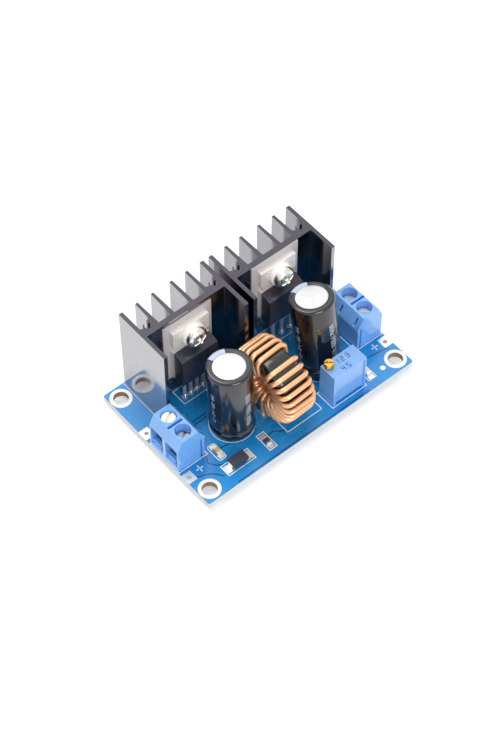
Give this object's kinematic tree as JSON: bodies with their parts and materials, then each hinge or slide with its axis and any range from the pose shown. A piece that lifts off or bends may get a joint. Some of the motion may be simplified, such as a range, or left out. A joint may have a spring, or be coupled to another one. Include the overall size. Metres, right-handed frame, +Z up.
{
  "type": "buck converter module",
  "caption": "Step-down converter module: circuit board with ring inductor, upright capacitors, devices bolted to finned heatsinks, multi-turn trimmer and screw terminals at both ends.",
  "frame": {"origin": "middle of the board in plan, level with the tips of the solder joints below it", "axes": "+X along the board from the input terminals to the output terminals, +Y across it towards the heatsink fins, +Z up off the component side"},
  "size_m": [0.06, 0.0376, 0.0282],
  "materials": {
    "board_laminate": "glass-epoxy laminate under a glossy blue solder mask",
    "tinned_copper": "bright tinned copper",
    "solder": "bright solder",
    "sink_aluminium": "extruded aluminium with a dark satin anodised skin and bare cut ends",
    "plated_steel": "nickel-plated steel",
    "screw_steel": "bright zinc-plated steel",
    "device_epoxy": "black moulded epoxy",
    "device_metal": "tin-plated copper tab",
    "insulator_pad": "pale grey silicone pad",
    "insulator_bush": "ivory nylon",
    "capacitor_metal": "bare aluminium can",
    "capacitor_film": "black shrink film with a pale stripe",
    "capacitor_rubber": "black rubber seal",
    "core_powder": "pressed iron powder under black gloss enamel",
    "enamelled_copper": "enamelled copper wire",
    "trimmer_plastic": "light blue moulded plastic",
    "brass_screw": "bright brass",
    "rotor_plastic": "pale moulded plastic",
    "track_ceramic": "alumina plate with a resistive track",
    "potting": "epoxy sealing compound",
    "terminal_plastic": "light blue moulded plastic",
    "clamp_steel": "zinc-plated steel",
    "diode_epoxy": "black moulded epoxy",
    "resistor_ceramic": "alumina chip under black glaze",
    "capacitor_ceramic": "fired tan ceramic",
    "lamp_resin": "milky clear resin"
  },
  "bodies": {
    "module": {"circuit_board": "board_laminate", "mounting_hole_rings": "tinned_copper", "wire_pads": "tinned_copper", "surface_pads": "tinned_copper", "solder_joints": "solder", "heatsink_screws": "screw_steel", "inductor_core": "core_powder", "inductor_winding": "enamelled_copper", "trimmer_housing": "trimmer_plastic", "trimmer_element": "track_ceramic", "trimmer_base": "potting", "trimmer_pins": "tinned_copper", "diode_body": "diode_epoxy", "diode_leads": "tinned_copper", "chip_resistor": "resistor_ceramic", "chip_capacitor": "capacitor_ceramic", "indicator_lamp": "lamp_resin", "chip_end_caps": "tinned_copper", "left_heatsink": "sink_aluminium", "left_heatsink_pins": "plated_steel", "left_insulating_pad": "insulator_pad", "left_insulating_bush": "insulator_bush", "right_heatsink": "sink_aluminium", "right_heatsink_pins": "plated_steel", "right_insulating_pad": "insulator_pad", "right_insulating_bush": "insulator_bush", "regulator_tab": "device_metal", "regulator_body": "device_epoxy", "regulator_leads": "tinned_copper", "rectifier_tab": "device_metal", "rectifier_body": "device_epoxy", "rectifier_leads": "tinned_copper", "input_capacitor_can": "capacitor_metal", "input_capacitor_sleeve": "capacitor_film", "input_capacitor_seal": "capacitor_rubber", "input_capacitor_leads": "tinned_copper", "input_terminal_housing": "terminal_plastic", "input_terminal_contacts": "clamp_steel", "output_capacitor_can": "capacitor_metal", "output_capacitor_sleeve": "capacitor_film", "output_capacitor_seal": "capacitor_rubber", "output_capacitor_leads": "tinned_copper", "output_terminal_housing": "terminal_plastic", "output_terminal_contacts": "clamp_steel"},
    "trimmer_adjuster": {"trimmer_screw": "brass_screw"},
    "trimmer_wheel": {"trimmer_rotor": "rotor_plastic", "trimmer_wiper": "plated_steel"},
    "input_clamp_1": {"input_clamp_plate_1": "clamp_steel"},
    "input_screw_1": {"input_terminal_screw_1": "clamp_steel"},
    "input_clamp_2": {"input_clamp_plate_2": "clamp_steel"},
    "input_screw_2": {"input_terminal_screw_2": "clamp_steel"},
    "output_clamp_1": {"output_clamp_plate_1": "clamp_steel"},
    "output_screw_1": {"output_terminal_screw_1": "clamp_steel"},
    "output_clamp_2": {"output_clamp_plate_2": "clamp_steel"},
    "output_screw_2": {"output_terminal_screw_2": "clamp_steel"}
  },
  "joints": [
    {"name": "trimmer_turn", "type": "hinge", "parent": "module", "child": "trimmer_adjuster", "pos_m": [0.00895, -0.01305, 0.0131], "axis": [0, 0, 1], "range_deg": [-4500, 4500]},
    {"name": "trimmer_wheel_turn", "type": "hinge", "parent": "module", "child": "trimmer_wheel", "pos_m": [0.01255, -0.01295, 0.0077], "axis": [0, 1, 0], "range_deg": [-135, 135]},
    {"name": "input_clamp_1_lift", "type": "slide", "parent": "module", "child": "input_clamp_1", "axis": [0, 0, 1], "range_m": [-0.00005, 0.00275]},
    {"name": "input_screw_1_turn", "type": "hinge", "parent": "input_clamp_1", "child": "input_screw_1", "pos_m": [-0.02625, -0.00555, 0.005], "axis": [0, 0, 1], "range_deg": [-72, 2016]},
    {"name": "input_clamp_2_lift", "type": "slide", "parent": "module", "child": "input_clamp_2", "axis": [0, 0, 1], "range_m": [-0.00215, 0.00065]},
    {"name": "input_screw_2_turn", "type": "hinge", "parent": "input_clamp_2", "child": "input_screw_2", "pos_m": [-0.02625, -0.00055, 0.0071], "axis": [0, 0, 1], "range_deg": [-1584, 504]},
    {"name": "output_clamp_1_lift", "type": "slide", "parent": "module", "child": "output_clamp_1", "axis": [0, 0, 1], "range_m": [-0.0005, 0.0023]},
    {"name": "output_screw_1_turn", "type": "hinge", "parent": "output_clamp_1", "child": "output_screw_1", "pos_m": [0.02625, -0.00555, 0.00545], "axis": [0, 0, 1], "range_deg": [-396, 1692]},
    {"name": "output_clamp_2_lift", "type": "slide", "parent": "module", "child": "output_clamp_2", "axis": [0, 0, 1], "range_m": [-0.00025, 0.00255]},
    {"name": "output_screw_2_turn", "type": "hinge", "parent": "output_clamp_2", "child": "output_screw_2", "pos_m": [0.02625, -0.00055, 0.0052], "axis": [0, 0, 1], "range_deg": [-216, 1872]}
  ],
  "couplings": [
    {"joint": "trimmer_wheel_turn", "follows": "trimmer_turn", "ratio": 0.03},
    {"joint": "input_screw_1_turn", "follows": "input_clamp_1_lift", "rad_per_m": 12566},
    {"joint": "input_screw_2_turn", "follows": "input_clamp_2_lift", "rad_per_m": 12566},
    {"joint": "output_screw_1_turn", "follows": "output_clamp_1_lift", "rad_per_m": 12566},
    {"joint": "output_screw_2_turn", "follows": "output_clamp_2_lift", "rad_per_m": 12566}
  ]
}
